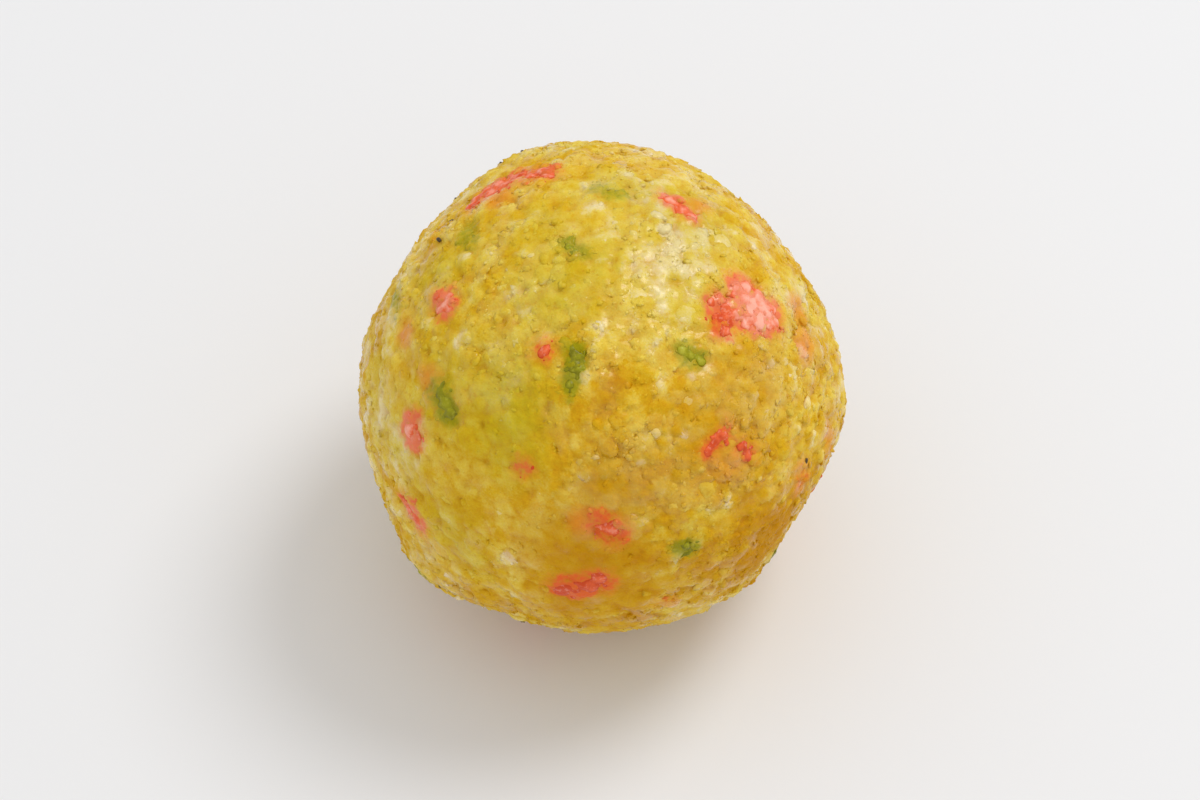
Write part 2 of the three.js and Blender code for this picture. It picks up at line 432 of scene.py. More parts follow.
def stainAt(directions, strokes, spread):
    # how near a direction is to a stroke, 1 on it and 0 past its spread
    stain = np.zeros(len(directions))
    for width, strength, _, points in strokes:
        apart = np.arccos(np.clip((directions @ points.T).max(axis=1), -1, 1)) * bestSide["radius"]
        stain = np.maximum(stain, strength * np.clip(1 + (width / 2 - apart) / spread, 0, 1))
    return stain


def patchAt(directions, across, up, spread):
    apart = np.arccos(np.clip(directions @ placeOnSide(across, up), -1, 1)) * bestSide["radius"]
    return np.exp(-((apart / spread) ** 2))


def stainsAt(directions, sharpness):
    # how red, green or orange the crumb is there
    strokesOf = {"redStain": redStrokes, "greenStain": greenStrokes, "orangeStain": orangeStrokes}
    return {
        name: stainAt(directions, strokes, crust["stainSpread"][name] * sharpness)
        for name, strokes in strokesOf.items()
    }


random = np.random.default_rng(farMarks["seed"] + 1)
grainStains = {
    name: np.clip(stain * random.uniform(*crust["grainStainRange"], grains["count"]), 0, 1)
    for name, stain in stainsAt(laidGrains["place"], crust["grainStainSharpness"]).items()
}


def unevenAt(points, name):
    size, shift, amount = unevenness[name]
    return amount * noiseAt(points, size, shift)


def wandered(directions, points, wander, warp):
    # directions moved about by noise, so that outlines laid in them wander
    size, shifts = wander
    moved = np.stack([noiseAt(points, size, shift) for shift in shifts], axis=1)
    return unit(directions + warp * moved / bestSide["radius"])


def surfaceAt(directions):
    # the pressed ball in every direction: distance from its middle, and what its colour follows
    points = directions * bestSide["radius"]
    dropWarped = wandered(directions, points, crust["dropWander"], drops["warp"])
    grainWarped = wandered(directions, points, crust["grainWander"], grains["warp"])
    mash = np.clip(crust["mash"] + unevenAt(points, "mash"), 0, 1)
    rough = np.clip(crust["rough"] + unevenAt(points, "rough"), *crust["roughRange"])
    for across, up, spread, smeared in smearedPlaces:
        rough *= 1 - smeared * patchAt(directions, across, up, spread)
    height, dropTone, crease = dropsAt(dropWarped, mash)
    grainHeight, spreadOver = grainsAt(grainWarped)
    pit = pitsAt(grainWarped)
    height += rough * (grainHeight - crust["grainLevel"])
    height += unevenAt(points, "knead") + unevenAt(points, "grit")
    height -= pits["depth"] * pit
    radius = pressedRadius(directions) + height
    floor = np.where(directions[:, 2] < 0, middleHeight / np.maximum(-directions[:, 2], 1e-6), np.inf)
    warm = unevenAt(points, "warm")
    pale = unevenAt(points, "pale") + unevenAt(points, "blotch")
    for across, up, spread, warmer, paler in patches:
        near = patchAt(directions, across, up, spread)
        warm += warmer * near
        pale += paler * near
    tone = crust["grainTone"] * spreadOver(laidGrains["tone"]) + (1 - crust["grainTone"]) * dropTone
    kept = crust["smearedTone"] + (1 - crust["smearedTone"]) * rough
    tone = crust["tone"] + (tone - crust["tone"]) * kept
    # the crease look darkens the colour down between grains, between drops and in pits: partly syrup pooled
    # there, partly painted shade
    creaseBottom, creaseRise = crust["creaseShadeDepth"]
    inCrease = np.clip((grainHeight + creaseBottom) / creaseRise, 0, 1)
    wet = spreadOver(laidGrains["wet"]) * (crust["dryWet"] + rough)
    looks = {
        "tone": tone,
        "crease": inCrease * (1 - crust["dropCreaseShade"] + crust["dropCreaseShade"] * crease) * (1 - pit),
        "wet": np.clip(wet + unevenAt(points, "damp") + crust["paleWet"] * pale, 0, 1),
        "warm": warm,
        "pale": pale,
    }
    for name, stain in stainsAt(directions, 1.0).items():
        ofGrains = spreadOver(grainStains[name])
        looks[name] = (1 - crust["grainStain"]) * stain + crust["grainStain"] * ofGrains
    return np.minimum(radius, floor), rough, looks


class Wire:
    # a socket of a node tree, so that maths on it reads as an expression

    def __init__(self, tree, socket=None):
        self.tree = tree
        self.socket = socket

    def node(self, kind, settings=None, inputs=None, output=0):
        made = self.tree.nodes.new(kind)
        for name, value in (settings or {}).items():
            if name == "stops":
                self.setStops(made.color_ramp, value)
            else:
                setattr(made, name, value)
        for name, value in (inputs or {}).items():
            if isinstance(value, Wire):
                self.tree.links.new(value.socket, made.inputs[name])
            else:
                made.inputs[name].default_value = value
        return Wire(self.tree, made.outputs[output])

    def setStops(self, ramp, stops):
        while len(ramp.elements) < len(stops):
            ramp.elements.new(0.5)
        for element, (position, colour) in zip(ramp.elements, stops):
            element.position = position
            element.color = colour

    def maths(self, operation, first, second=0.0, clamp=False):
        settings = {"operation": operation, "use_clamp": clamp}
        return self.node("ShaderNodeMath", settings, {0: first, 1: second})

    def __add__(self, other):
        return self.maths("ADD", self, other)

    def __radd__(self, other):
        return self.maths("ADD", other, self)

    def __sub__(self, other):
        return self.maths("SUBTRACT", self, other)

    def __rsub__(self, other):
        return self.maths("SUBTRACT", other, self)

    def __mul__(self, other):
        return self.maths("MULTIPLY", self, other)

    def __rmul__(self, other):
        return self.maths("MULTIPLY", other, self)

    def clamped(self):
        return self.maths("ADD", self, 0.0, clamp=True)

    def ranged(self, low, high, newLow=0.0, newHigh=1.0):
        sockets = {"Value": self, "From Min": low, "From Max": high, "To Min": newLow, "To Max": newHigh}
        return self.node("ShaderNodeMapRange", {"interpolation_type": "SMOOTHSTEP"}, sockets)

    def mixed(self, other, factor, blend="MIX"):
        # this colour towards another one; the node's colour sockets are 6, 7 and, of its outputs, 2
        sockets = {0: factor, 6: self, 7: other}
        return self.node("ShaderNodeMix", {"data_type": "RGBA", "blend_type": blend}, sockets, output=2)


def srgb(red, green, blue, alpha=1.0):
    # a colour given in 0 to 255, as the shader's own values
    def linear(value):
        value /= 255
        return value / 12.92 if value <= 0.04045 else ((value + 0.055) / 1.055) ** 2.4

    return (linear(red), linear(green), linear(blue), alpha)


def startMaterial(name):
    material = bpy.data.materials.new(name)
    material.use_nodes = True
    tree = material.node_tree
    shader = tree.nodes["Principled BSDF"]
    return material, Wire(tree), shader


def plug(wire, socket):
    wire.tree.links.new(wire.socket, socket)


def objectPlace(tree):
    return tree.node("ShaderNodeTexCoord", output="Object")


def attribute(tree, name):
    return tree.node("ShaderNodeAttribute", {"attribute_name": name}, output="Fac")


def noiseTexture(tree, place, size, detail, roughness=0.55):
    sockets = {"Vector": place, "Scale": 1 / (size * mm), "Detail": detail, "Roughness": roughness}
    return tree.node("ShaderNodeTexNoise", {}, sockets)


def grainTexture(tree, place, size):
    # 0 in the middle of a grain, rising outwards
    sockets = {"Vector": place, "Scale": 1 / (size * mm)}
    return tree.node("ShaderNodeTexVoronoi", {"feature": "SMOOTH_F1"}, sockets)


def bumpFrom(tree, relief, strength, height):
    sockets = {"Strength": strength, "Distance": height * mm, "Height": relief}
    return tree.node("ShaderNodeBump", {}, sockets)


def setSockets(shader, values):
    for name, value in values.items():
        shader.inputs[name].default_value = value


yellowCrumb = {
    "amber": srgb(205, 144, 2),
    "golden": srgb(224, 177, 26),
    "lemon": srgb(237, 207, 82),
    "pale": srgb(249, 229, 180),
    "olive": srgb(200, 180, 24),
    # syrup pooled in creases and flecks of it, which also stands for the painted shade in creases
    "syrup": srgb(197, 127, 4),
    "red": srgb(236, 99, 46),
    "pink": srgb(254, 152, 122),
    "orange": srgb(232, 134, 44),
    "green": srgb(146, 144, 0),
    "tones": {"amber": 0.05, "golden": 0.38, "lemon": 0.68, "pale": 1.0},  # where each lies on the ramp
    "shade": (2.6, 3.0),  # size and detail of the noises, from broad to fine
    "fleck": (0.6, 2.0),
    "dust": (0.2, 2.0),
    # what each adds to the tone
    "toneShare": 0.62,
    "shadeShare": 0.28,
    "paleShare": 0.65,
    "fleckShare": 0.25,
    "dustShare": 0.4,
    "lift": 0.04,
    # how far the colour turns to each at most
    "oliveMost": 0.9,
    "amberMost": 0.8,
    # in creases and pits, syrup and painted shade
    "creaseShadeMost": 0.4,
    "fleckMost": 0.25,
    "orangeMost": 0.8,
    "fringeMost": 0.6,  # orange round the red
    "redMost": 0.9,
    "pinkMost": 1.1,
    "greenMost": 0.85,
    "raggedness": (0.7, 0.8),  # of a stain's edge, by shade and by fleck
    # the stain, noise or wetness from which each starts, and from which it is full
    "fringe": (0.1, 0.9),
    "reddest": (0.65, 1.05),
    "greenest": (0.1, 0.95),
    "shaded": (0.3, 0.7),
    "flecked": (0.42, 0.28),
    "rough": (0.35, 0.65),
    "coated": (0.15, 0.85),
    "roughness": (0.3, 0.55),
    "dryRoughness": 0.6,  # share of the roughness that comes from dryness
    "greenDulls": 0.7,
    "relief": (0.5, 0.3, 0.3),  # of grains, fleck and dust in the fine bumps
    "bumpHeight": 0.2,
    "grainSize": 0.5,
    "sockets": {
        "Coat Roughness": 0.22,
        "Coat IOR": 1.42,
        "Subsurface Radius": (0.9, 0.6, 0.2),
        "Subsurface Scale": 0.9 * mm,
        "IOR": 1.4,
        "Specular IOR Level": 0.12,
    },
}


def yellowMaterial(name, subsurface):
    material, tree, shader = startMaterial(name)
    look = yellowCrumb
    place = objectPlace(tree)
    names = ("tone", "pale", "crease", "warm", "wet")
    tone, pale, crease, warm, wet = [attribute(tree, key) for key in names]
    shade, fleck, dust = [noiseTexture(tree, place, *look[key]) for key in ("shade", "fleck", "dust")]

    speckle = look["fleckShare"] * (fleck - 0.5) + look["dustShare"] * (dust - 0.5) + look["lift"]
    mixture = look["toneShare"] * tone + look["shadeShare"] * shade.ranged(*look["shaded"])
    # pale brings the paler tone and the painted highlights of the patches
    mixture = mixture + look["paleShare"] * pale + speckle
    stops = [(position, look[key]) for key, position in look["tones"].items()]
    colour = tree.node("ShaderNodeValToRGB", {"stops": stops}, {"Fac": mixture.clamped()})
    # warm brings olive and amber, the amber towards the bottom partly painted shade
    colour = colour.mixed(look["olive"], (warm * -look["oliveMost"]).clamped())
    colour = colour.mixed(look["amber"], (warm * look["amberMost"]).clamped())
    # painted shade in creases and pits, in the colour of the syrup pooled there
    colour = colour.mixed(look["syrup"], ((1 - crease) * look["creaseShadeMost"]).clamped())
    colour = colour.mixed(look["syrup"], fleck.ranged(*look["flecked"]) * look["fleckMost"])
    colour = colour.mixed(look["orange"], attribute(tree, "orangeStain") * look["orangeMost"])
    byShade, byFleck = look["raggedness"]
    ragged = byShade * (shade - 0.5) + byFleck * (fleck - 0.5)
    redStain = attribute(tree, "redStain") + ragged
    colour = colour.mixed(look["orange"], redStain.ranged(*look["fringe"]) * look["fringeMost"])
    reddest = redStain.ranged(*look["reddest"])
    colour = colour.mixed(look["red"], reddest * look["redMost"])
    # pink on red where the crust is paler, partly painted highlight
    colour = colour.mixed(look["pink"], (reddest * pale * look["pinkMost"]).clamped())
    greenStain = attribute(tree, "greenStain") + ragged
    colour = colour.mixed(look["green"], greenStain.ranged(*look["greenest"]) * look["greenMost"])
    plug(colour, shader.inputs["Base Color"])

    dryShare = look["dryRoughness"]
    rough = (1 - dryShare) * fleck.ranged(*look["rough"]) + dryShare * (1 - wet)
    plug(rough.ranged(0.0, 1.0, *look["roughness"]), shader.inputs["Roughness"])
    dulled = 1 - look["greenDulls"] * attribute(tree, "greenStain")
    plug(wet.ranged(*look["coated"]) * dulled, shader.inputs["Coat Weight"])
    byGrain, byFleck, byDust = look["relief"]
    relief = byGrain * (1 - grainTexture(tree, place, look["grainSize"])) + byFleck * fleck + byDust * dust
    plug(bumpFrom(tree, relief, 1.0, look["bumpHeight"]), shader.inputs["Normal"])
    setSockets(shader, look["sockets"])
    shader.inputs["Subsurface Weight"].default_value = subsurface
    return material


# the pale colour is that of the drops' tops, a painted highlight, and the deep one that of their hollows,
# painted shade
redCrumb = {
    "deep": srgb(215, 76, 28),
    "bright": srgb(240, 106, 56),
    "pale": srgb(255, 178, 154),
    "roughness": (0.25, 0.45),
}
greenCrumb = {
    "deep": srgb(124, 119, 2),
    "bright": srgb(158, 154, 12),
    "pale": srgb(196, 190, 64),
    "roughness": (0.3, 0.5),
}
colouredCrumb = {
    # what red and green crumb have alike
    "tones": {"deep": 0.1, "bright": 0.45, "pale": 0.9},
    "shade": (1.1, 3.0),
    "fleck": (0.4, 2.0),
    "riseHighlightShare": 0.35,
    "shadeShare": 0.35,
    "paleShare": 0.8,
    "fleckMost": 0.35,
    # the noise from which each starts, and from which it is full
    "shaded": (0.3, 0.7),
    "flecked": (0.52, 0.7),
    "rough": (0.35, 0.65),
    "relief": (0.6, 0.4),  # of grains and fleck in the fine bumps
    "grainSize": 0.5,
    "bumpStrength": 0.9,
    "bumpHeight": 0.1,
    "sockets": {
        "Coat Weight": 0.2,
        "Coat Roughness": 0.22,
        "Specular IOR Level": 0.15,
        "Subsurface Weight": 0.1,
        "Subsurface Radius": (0.9, 0.6, 0.4),
        "Subsurface Scale": 0.6 * mm,
        "IOR": 1.4,
    },
}


def colouredMaterial(name, colours):
    # syrupy coloured crumb: deep in its hollows, as painted shade, bright, and pale on its tops, as painted
    # highlights
    material, tree, shader = startMaterial(name)
    look = colouredCrumb
    place = objectPlace(tree)
    shade, fleck = [noiseTexture(tree, place, *look[key]) for key in ("shade", "fleck")]
    # the higher a point stands, the paler it is as painted highlight, and the lower, the deeper as painted
    # shade
    mixture = look["riseHighlightShare"] * attribute(tree, "rise")
    mixture = mixture + look["shadeShare"] * shade.ranged(*look["shaded"])
    mixture = (mixture + look["paleShare"] * attribute(tree, "pale")).clamped()
    stops = [(position, colours[key]) for key, position in look["tones"].items()]
    colour = tree.node("ShaderNodeValToRGB", {"stops": stops}, {"Fac": mixture})
    colour = colour.mixed(colours["pale"], fleck.ranged(*look["flecked"]) * look["fleckMost"])
    plug(colour, shader.inputs["Base Color"])
    plug(shade.ranged(*look["rough"], *colours["roughness"]), shader.inputs["Roughness"])
    byGrain, byFleck = look["relief"]
    relief = byGrain * (1 - grainTexture(tree, place, look["grainSize"])) + byFleck * fleck
    bump = bumpFrom(tree, relief, look["bumpStrength"], look["bumpHeight"])
    plug(bump, shader.inputs["Normal"])
    setSockets(shader, look["sockets"])
    return material


cardamom = {
    "tones": [(0.3, srgb(34, 25, 18)), (0.75, srgb(100, 78, 48))],
    "shade": (0.3, 3.0),
    "rough": (0.3, 0.7),  # shade from which its roughness starts, and from which it is full
    "roughness": (0.45, 0.75),
}


def speckMaterial(name):
    material, tree, shader = startMaterial(name)
    shade = noiseTexture(tree, objectPlace(tree), *cardamom["shade"])
    colour = tree.node("ShaderNodeValToRGB", {"stops": cardamom["tones"]}, {"Fac": shade})
    plug(colour, shader.inputs["Base Color"])
    plug(shade.ranged(*cardamom["rough"], *cardamom["roughness"]), shader.inputs["Roughness"])
    return material


def addAttributes(mesh, values):
    for name, value in values.items():
        layer = mesh.attributes.new(name, "FLOAT", "POINT")
        layer.data.foreach_set("value", np.asarray(value, dtype=np.float32))


def coordinates(mesh):
    corners = np.zeros(len(mesh.vertices) * 3)
    mesh.vertices.foreach_get("co", corners)
    return corners.reshape(-1, 3)


def finishPiece(name, mesh, material):
    piece = bpy.data.objects.new(name, mesh)
    bpy.context.scene.collection.objects.link(piece)
    mesh.materials.append(material)
    mesh.polygons.foreach_set("use_smooth", [True] * len(mesh.polygons))
    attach(piece, "root")
    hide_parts("ladoo")
    print(name, "made,", sum(len(p.vertices) - 2 for p in mesh.polygons), "triangles")
    return piece


skin = {
    "cuts": 127,
    "clearance": 1.0,  # height over the floor from which loose crumb is laid
    "subsurface": 0.12,
}


def makeSkin():
    # a cube cut into a fine grid and blown up to a ball, with its rows spread evenly
    bm = bmesh.new()
    bmesh.ops.create_cube(bm, size=2)
    bmesh.ops.subdivide_edges(bm, edges=bm.edges, cuts=skin["cuts"], use_grid_fill=True)
    mesh = bpy.data.meshes.new("ladooSkin")
    bm.to_mesh(mesh)
    bm.free()
    directions = unit(np.tan(coordinates(mesh) * math.pi / 4))
    radius, rough, looks = surfaceAt(directions)
    places = directions * radius[:, None]
    middle = -(places.min(axis=0) + places.max(axis=0)) / 2  # centred in X and Y, as the frame's box is
    middle[2] = middleHeight
    mesh.vertices.foreach_set("co", ((middle + places) * mm).ravel())
    addAttributes(mesh, looks)
    return mesh, middle, directions, radius, rough, looks


skinMesh, ballMiddle, skinDirections, skinRadius, skinRough, skinLooks = makeSkin()
pressedBoondi = yellowMaterial("pressedBoondi", skin["subsurface"])
looseBoondi = yellowMaterial("looseBoondi", 0.0)
finishPiece("ladooSkin", skinMesh, pressedBoondi)
skinTree = treeOf(skinDirections)
clearOfFloor = middleHeight + skinRadius * skinDirections[:, 2] > skin["clearance"]


def turnedTo(normal, spin):
    # a turn that brings +Z to the normal, after a spin about it
    toNormal = Vector((0, 0, 1)).rotation_difference(Vector(normal)).to_matrix()
    return np.array(toNormal @ Matrix.Rotation(spin, 3, "Z"))


def roundShape(fineness):
    # corners and faces of a ball to be repeated: a rounded block of 24 faces, or a finer ball
    bm = bmesh.new()
    if fineness == 0:
        bmesh.ops.create_cube(bm, size=2)
        bmesh.ops.subdivide_edges(bm, edges=bm.edges, cuts=1, use_grid_fill=True)
    else:
        bmesh.ops.create_icosphere(bm, subdivisions=fineness, radius=1)
    corners = unit(np.array([v.co for v in bm.verts]))
    faces = np.array([[v.index for v in f.verts] for f in bm.faces])
    bm.free()
    return corners, faces


lumps = {"size": 0.9, "step": 3.1}  # of the noise that makes each crumb uneven, and from one to the next


def scatter(name, piece, items, looks=None):
    # one mesh of many small rounded crumbs; each item has a place, a direction, three half sizes and a spin
    shape, faces = roundShape(piece["fineness"])
    count = len(items)
    vertices = np.zeros((count, len(shape), 3))
    for i, (place, normal, sizes, spin) in enumerate(items):
        bumpy = noiseAt(shape + lumps["step"] * i, lumps["size"], 0.0)[:, None]
        uneven = 1 + piece["lumpiness"] * bumpy
        vertices[i] = place + (shape * uneven * sizes) @ turnedTo(normal, spin).T
    allFaces = faces[None] + (np.arange(count) * len(shape))[:, None, None]
    corners = (vertices.reshape(-1, 3) * mm).tolist()
    mesh = bpy.data.meshes.new(name)
    mesh.from_pydata(corners, [], allFaces.reshape(-1, faces.shape[1]).tolist())
    if looks:
        addAttributes(mesh, {key: np.repeat(value, len(shape)) for key, value in looks.items()})
    return mesh


crumbs = {
    # the coarsest crumb, each on a dome of the skin
    "count": 4100,
    "share": (0.32, 0.5),  # half width to the dome's size
    "stretch": ((0.9, 0.7, 0.5), (1.3, 1.0, 0.75)),  # least and most half sizes, to that
    "proud": (-0.08, 0.1),
    "proudest": 0.45,  # to its half height
    "smearedSink": 0.22,
    "lean": 0.22,
    "fineness": 0,
    "lumpiness": 0.45,
    "tone": (0.05, 0.08),  # paler than the skin, and how much that varies
    "seed": 5,
}


def makeCrumbs():
    random = np.random.default_rng(crumbs["seed"])
    nearest = np.array([skinTree.find(place)[1] for place in laidGrains["place"]])
    chosen = [i for i in range(grains["count"]) if clearOfFloor[nearest[i]]][: crumbs["count"]]
    nearest = nearest[chosen]
    items = []
    for i, index in zip(chosen, nearest):
        direction = laidGrains["place"][i]
        half = laidGrains["size"][i] * random.uniform(*crumbs["share"])
        sizes = half * random.uniform(*crumbs["stretch"])
        proud = min(random.uniform(*crumbs["proud"]), crumbs["proudest"] * sizes[2])
        sunk = sizes[2] - proud + crumbs["smearedSink"] * (1 - min(1, skinRough[index]))
        place = ballMiddle + direction * (skinRadius[index] - sunk)
        leaning = unit(direction + random.normal(0, crumbs["lean"], 3))
        items.append((place, leaning, sizes, random.uniform(0, math.tau)))
    looks = {key: value[nearest] for key, value in skinLooks.items()}
    looks["tone"] = (laidGrains["tone"][chosen] + looks["tone"]) / 2
    looks["tone"] += random.normal(*crumbs["tone"], len(chosen))
    looks["crease"] = np.ones(len(chosen))
    for name, stain in grainStains.items():
        looks[name] = stain[chosen]
    return scatter("boondiCrumbs", crumbs, items, looks)


granules = {
    # fine crumb between and on the others, thicker in some places
    "count": 8000,
    "halfSize": (0.2, 0.4),
    "stretch": ((0.8, 0.55, 0.35), (1.7, 1.1, 0.65)),
    "proud": (0.05, 0.45),  # to its half height
    "lean": 0.25,
    "fineness": 1,
    "lumpiness": 0.5,
    "spread": 0.55,  # how thickly they lie on the whole, and at least
    "sparsest": 0.08,
    "clumping": 1.3,
    "clumps": (4.5, 71.0),  # size and shift of the noise they clump by
    "tone": (0.04, 0.1),
    "lessCreaseShade": 0.3,
    "seed": 6,
}


def makeGranules():
    random = np.random.default_rng(granules["seed"])
    points = skinDirections * bestSide["radius"]
    likely = granules["spread"] + granules["clumping"] * noiseAt(points, *granules["clumps"])
    likely = np.clip(likely, granules["sparsest"], 1) * clearOfFloor * skinRough**2
    chosen = random.choice(len(points), granules["count"], replace=False, p=likely / likely.sum())
    items = []
    for index in chosen:
        direction = skinDirections[index]
        sizes = random.uniform(*granules["halfSize"]) * random.uniform(*granules["stretch"])
        sunk = sizes[2] * (1 - random.uniform(*granules["proud"]))
        place = ballMiddle + direction * (skinRadius[index] - sunk)
        leaning = unit(direction + random.normal(0, granules["lean"], 3))
        items.append((place, leaning, sizes, random.uniform(0, math.tau)))
    looks = {key: value[chosen] for key, value in skinLooks.items()}
    looks["tone"] = looks["tone"] + random.normal(*granules["tone"], len(chosen))
    # less painted crease shade on them than on the skin
    looks["crease"] = np.clip(looks["crease"] + granules["lessCreaseShade"], 0, 1)
    return scatter("boondiGranules", granules, items, looks)


finishPiece("boondiCrumbs", makeCrumbs(), looseBoondi)
finishPiece("boondiGranules", makeGranules(), looseBoondi)


wholeDrops = {
    # drops that stayed whole and pale: across, up, and half their width
    "places": [
        (-5.6, 11.8, 1.5),
        (-9.3, 10.2, 1.6),
        (3.8, 9.2, 1.2),
        (8.6, 7.4, 1.3),
        (6.5, 12.5, 1.2),
        (12.5, 15.0, 1.3),
        (8.8, -0.9, 1.2),
        (10.9, -9.8, 1.3),
        (-3.5, -13.3, 1.2),
    ],
    "far": 40,
    "facing": 0.25,  # far ones look away from the viewer by this much, and stay clear of the floor
    "lowest": -0.85,
    "halfWidth": (1.1, 1.6),
    "length": (1.0, 1.15),  # to its width
    "thickness": 0.55,
    "proud": (0.03, 0.16),
    "fineness": 3,
    "lumpiness": 0.22,
    "tone": (0.4, 0.8),
    "pale": (0.3, 0.15),  # the most that it takes from the skin, and what it adds
    "seed": 21,
}


def farDirections(random, look):
    # directions on the side that looks away from the viewer
    found = 0
    while found < look["far"]:
        direction = unit(random.normal(size=3))
        if direction @ towardsViewer < look["facing"] and direction[2] > look["lowest"]:
            found += 1
            yield direction


def makeWholeDrops():
    random = np.random.default_rng(wholeDrops["seed"])
    directions = [placeOnSide(across, up) for across, up, _ in wholeDrops["places"]]
    halves = [half for _, _, half in wholeDrops["places"]]
    for direction in farDirections(random, wholeDrops):
        directions.append(direction)
        halves.append(random.uniform(*wholeDrops["halfWidth"]))
    nearest = [skinTree.find(direction)[1] for direction in directions]
    items = []
    for direction, half, index in zip(directions, halves, nearest):
        sizes = half * np.array([random.uniform(*wholeDrops["length"]), 1.0, wholeDrops["thickness"]])
        sunk = sizes[2] - random.uniform(*wholeDrops["proud"])
        place = ballMiddle + direction * (skinRadius[index] - sunk)
        items.append((place, direction, sizes, random.uniform(0, math.tau)))
    looks = {key: value[nearest] for key, value in skinLooks.items()}
    looks["tone"] = random.uniform(*wholeDrops["tone"], len(items))
    looks["crease"] = np.ones(len(items))
    palest, paler = wholeDrops["pale"]
    looks["pale"] = np.clip(looks["pale"], 0, palest) + paler
    return scatter("wholeBoondi", wholeDrops, items, looks)


finishPiece("wholeBoondi", makeWholeDrops(), looseBoondi)


colouredDrops = {
    "spacing": 0.66,  # of neighbours, to their width
    "stretch": ((0.95, 0.85, 0.5), (1.25, 1.05, 0.64)),  # least and most, to half their width
    "proud": (0.05, 0.18),
    "palest": 0.25,  # how far out of the skin they are at their palest, where the painted highlight is full
    "round": 30,  # points of the skin round a drop, which it stands out of
    "level": 0.75,  # share of those points that lie lower
    "inStroke": 0.9,  # how much of a drop's width stays within its stroke
    "tries": (60, 40),  # to lay a drop: for a stroke, and for each of its steps
    "fineness": 3,
    "lumpiness": 0.25,
    "crumbs": 3,  # for each step of its stroke
    "crumbHalf": (0.2, 0.34),
    "crumbStretch": ((0.8, 0.7, 0.6), (1.4, 1.1, 0.9)),
    "crumbReach": 0.45,  # how far crumbs lie outside its stroke
    "crumbInmost": 0.2,  # share of that reach which stays bare
    "crumbProud": (0.0, 0.14),
    "voxel": 0.15,
    "softenings": 2,
    "seed": 12,
}


def lobesOf(strokes, random):
    # a crushed drop is a few lobes beside each other along its stroke
    lobes = []
    for width, _, whole, points in strokes:
        if not whole:
            continue
        reach = max(0.0, (width - colouredDrops["inStroke"] * whole) / 2) / bestSide["radius"]
        apart = colouredDrops["spacing"] * whole / bestSide["radius"]
        laid = []
        forStroke, forStep = colouredDrops["tries"]
        for _ in range(forStroke + forStep * len(points)):
            along = points[random.integers(len(points))]
            aside = unit(np.cross(along, random.normal(size=3)))
            place = unit(along + aside * reach * math.sqrt(random.uniform(0, 1)))
            if all(np.linalg.norm(place - other) > apart for other in laid):
                laid.append(place)
        lobes += [(place, whole / 2 * random.uniform(*colouredDrops["stretch"])) for place in laid]
    return lobes


def crumbsOf(strokes, random):
    # crumbs of its own colour, loose along a stroke
    items = []
    for width, strength, _, points in strokes:
        if strength < farMarks["crumbledFrom"]:
            continue
        for _ in range(colouredDrops["crumbs"] * len(points)):
            along = points[random.integers(len(points))]
            reach = (width / 2 + colouredDrops["crumbReach"]) / bestSide["radius"]
            aside = unit(np.cross(along, random.normal(size=3)))
            place = unit(along + aside * reach * random.uniform(colouredDrops["crumbInmost"], 1))
            half = random.uniform(*colouredDrops["crumbHalf"])
            items.append((place, half * random.uniform(*colouredDrops["crumbStretch"])))
    return items


def makeColoured(name, strokes, seed):
    random = np.random.default_rng(seed)
    items = []

    def lay(direction, sizes, level, proud):
        place = ballMiddle + direction * (level + random.uniform(*proud) - sizes[2])
        items.append((place, direction, sizes, random.uniform(0, math.tau)))

    for direction, sizes in lobesOf(strokes, random):
        around = [found[1] for found in skinTree.find_n(direction, colouredDrops["round"])]
        level = np.quantile(skinRadius[around], colouredDrops["level"])
        lay(direction, sizes, level, colouredDrops["proud"])
    for direction, sizes in crumbsOf(strokes, random):
        lay(direction, sizes, skinRadius[skinTree.find(direction)[1]], colouredDrops["crumbProud"])
    return fused(scatter(name, colouredDrops, items))


def fused(mesh):
    # lobes run together as one soft lump, with how far each point stands out of the skin, which its
    # material paints as highlight on top and shade lower down
    lump = bpy.data.objects.new("lump", mesh)
    bpy.context.scene.collection.objects.link(lump)
    remesh = lump.modifiers.new("fuse", "REMESH")
    remesh.mode = "VOXEL"
    remesh.voxel_size = colouredDrops["voxel"] * mm
    smooth = lump.modifiers.new("soften", "SMOOTH")
    smooth.iterations = colouredDrops["softenings"]
    evaluated = lump.evaluated_get(bpy.context.evaluated_depsgraph_get())
    made = bpy.data.meshes.new_from_object(evaluated)
    made.name = mesh.name + "Fused"
    bpy.data.objects.remove(lump)
    places = coordinates(made) / mm - ballMiddle
    directions = unit(places)
    nearest = [skinTree.find(direction)[1] for direction in directions]
    rise = np.clip((np.linalg.norm(places, axis=1) - skinRadius[nearest]) / colouredDrops["palest"], 0, 1)
    addAttributes(made, {"rise": rise, "pale": skinLooks["pale"][nearest]})
    return made


redMesh = makeColoured("boondiRed", redStrokes, colouredDrops["seed"])
greenMesh = makeColoured("boondiGreen", greenStrokes, colouredDrops["seed"] + 1)
finishPiece("boondiRed", redMesh, colouredMaterial("redBoondi", redCrumb))
finishPiece("boondiGreen", greenMesh, colouredMaterial("greenBoondi", greenCrumb))


specks = {
    "places": [(-16.3, 15.2), (20.9, -7.2), (-15.5, 17.6)],
    "far": 12,
    "facing": 0.1,
    "lowest": -0.9,
    "halfSize": (0.2, 0.38),
    "stretch": ((1.0, 0.6, 0.5), (1.7, 0.9, 0.8)),
    "proud": 0.3,  # of its middle, to its half height
    "fineness": 1,
    "lumpiness": 0.16,
    "seed": 31,
}


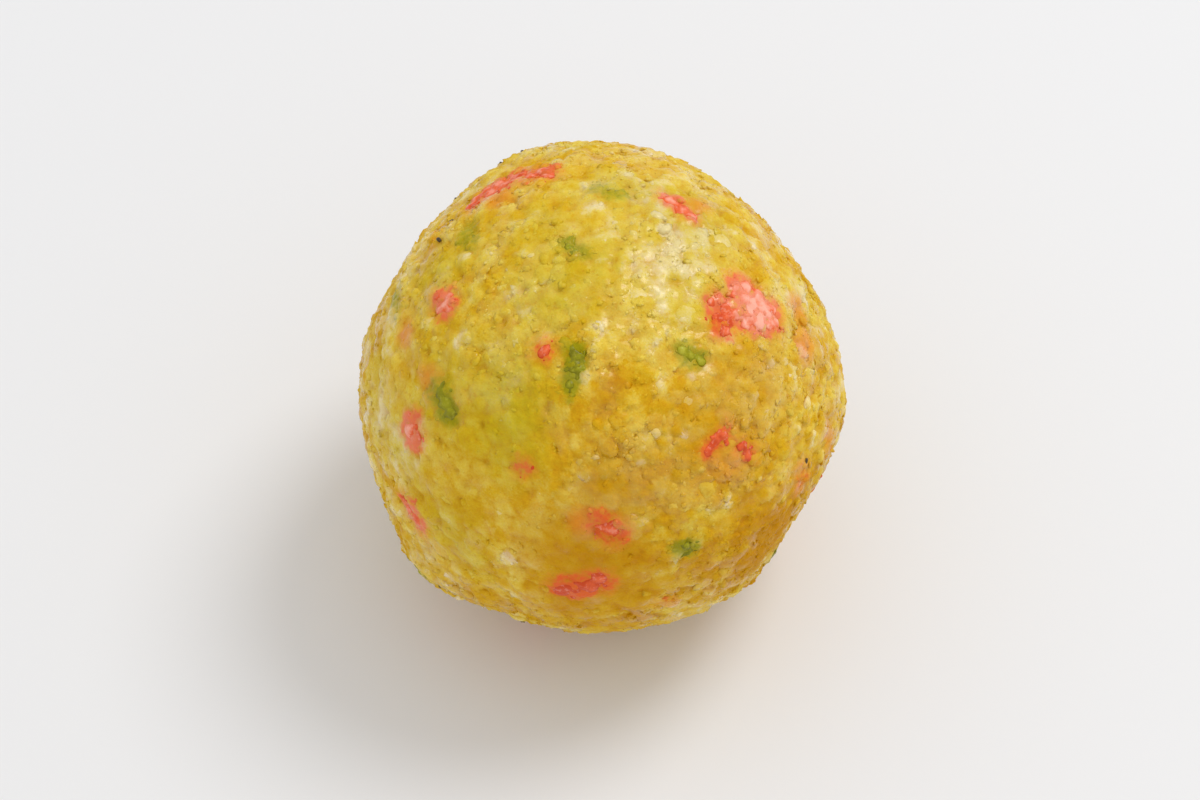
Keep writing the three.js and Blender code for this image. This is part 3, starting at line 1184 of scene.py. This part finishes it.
def makeSpecks():
    random = np.random.default_rng(specks["seed"])
    directions = [placeOnSide(*place) for place in specks["places"]]
    directions += list(farDirections(random, specks))
    items = []
    for direction in directions:
        reach = skinRadius[skinTree.find(direction)[1]]
        sizes = random.uniform(*specks["halfSize"]) * random.uniform(*specks["stretch"])
        place = ballMiddle + direction * (reach + specks["proud"] * sizes[2])
        items.append((place, direction, sizes, random.uniform(0, math.tau)))
    return scatter("cardamomSpecks", specks, items)


finishPiece("cardamomSpecks", makeSpecks(), speckMaterial("cardamom"))


studio = {
    "floorSize": 3000.0,
    "floorColour": srgb(236, 236, 237),
    "floorRoughness": 0.6,
    "white": (1.0, 1.0, 1.0),
    "skyStrength": 0.75,
    "keyPlace": (608.0, 365.0, 1150.0),  # from the middle of the ball
    "keySize": 600.0,
    "keyPower": 6.3,
}


def makeStudio():
    bm = bmesh.new()
    bmesh.ops.create_grid(bm, x_segments=1, y_segments=1, size=studio["floorSize"] / 2 * mm)
    mesh = bpy.data.meshes.new("floor")
    bm.to_mesh(mesh)
    bm.free()
    floor = bpy.data.objects.new("floor", mesh)
    bpy.context.scene.collection.objects.link(floor)
    material, _, shader = startMaterial("paleFloor")
    setSockets(shader, {"Base Color": studio["floorColour"], "Roughness": studio["floorRoughness"]})
    mesh.materials.append(material)

    world = bpy.data.worlds.new("softRoom")
    world.use_nodes = True
    background = world.node_tree.nodes["Background"]
    background.inputs["Color"].default_value = (*studio["white"], 1.0)
    background.inputs["Strength"].default_value = studio["skyStrength"]
    bpy.context.scene.world = world

    light = bpy.data.lights.new("window", "AREA")
    light.shape = "DISK"
    light.size = studio["keySize"] * mm
    light.energy = studio["keyPower"]
    light.color = studio["white"]
    lamp = bpy.data.objects.new("window", light)
    lamp.location = (Vector(studio["keyPlace"]) + Vector(ballMiddle)) * mm
    lamp.rotation_euler = Vector(studio["keyPlace"]).to_track_quat("Z", "Y").to_euler()
    bpy.context.scene.collection.objects.link(lamp)


viewer = {"lens": 135.0, "distance": 460.0, "sensor": 36.0, "lookUp": -1.0, "nearest": 10.0}


def makeCamera():
    data = bpy.data.cameras.new("camera")
    data.lens = viewer["lens"]
    data.sensor_width = viewer["sensor"]
    data.clip_start = viewer["nearest"] * mm
    camera = bpy.data.objects.new("camera", data)
    target = ballMiddle + viewer["lookUp"] * upOnSide
    camera.location = Vector(target + viewer["distance"] * towardsViewer) * mm
    camera.rotation_euler = Vector(towardsViewer).to_track_quat("Z", "Y").to_euler()
    bpy.context.scene.collection.objects.link(camera)
    bpy.context.scene.camera = camera


makeStudio()
makeCamera()
bpy.context.scene.view_settings.view_transform = "Standard"
print("studio and camera set")
